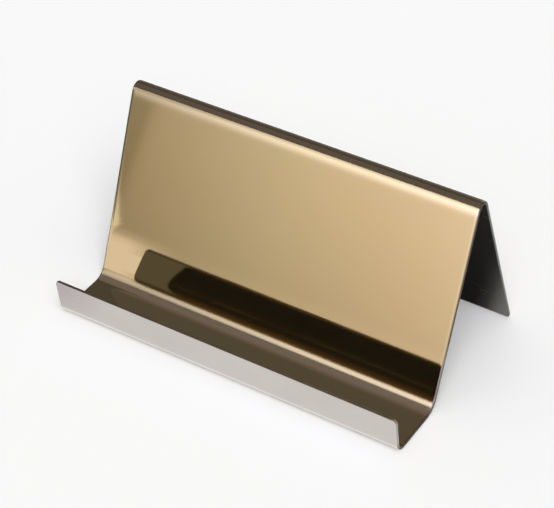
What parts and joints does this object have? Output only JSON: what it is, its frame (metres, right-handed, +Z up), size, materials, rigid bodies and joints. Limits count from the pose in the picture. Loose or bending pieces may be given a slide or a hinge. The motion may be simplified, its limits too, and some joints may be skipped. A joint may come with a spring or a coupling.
{
  "type": "business card stand",
  "caption": "Desk stand that holds business cards upright: folded sheet steel with a low front lip, tray, leaning backrest and rear leg, gold coated on the card side.",
  "frame": {"origin": "on the desk, under the middle of the stand's width and depth", "axes": "+X along the fold lines, to the right as seen from the front; the lip and the cards face -Y; +Z up"},
  "size_m": [0.1, 0.0614, 0.0508],
  "materials": {
    "bare_steel": "bright cold-rolled stainless steel with a fine grain along the width",
    "gold_finish": "polished pale gold coat on stainless steel"
  },
  "bodies": {
    "root": {"folded_sheet": "bare_steel", "gold_coat": "gold_finish"}
  },
  "joints": []
}
